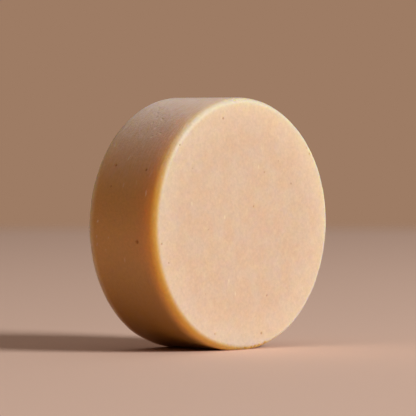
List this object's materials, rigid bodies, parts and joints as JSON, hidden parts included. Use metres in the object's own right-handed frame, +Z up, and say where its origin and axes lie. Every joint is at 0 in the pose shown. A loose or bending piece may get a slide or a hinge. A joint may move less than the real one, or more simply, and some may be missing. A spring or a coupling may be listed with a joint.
{
  "type": "shaving soap puck",
  "caption": "Round hard soap puck with two flat faces and softly rounded rims, stood on a narrow flat on its side wall; it is rubbed with a wet brush to make shaving lather.",
  "frame": {"origin": "middle of the standing flat on the side wall, on the surface that the puck stands on", "axes": "+Z up; +Y along the puck's round axis, so that the front face looks towards -Y and the back face towards +Y; +X across the faces"},
  "size_m": [0.064, 0.0234, 0.0637],
  "materials": {
    "soap": "hard soap, satin and slightly translucent"
  },
  "bodies": {
    "root": {"soap_puck": "soap"}
  },
  "joints": []
}
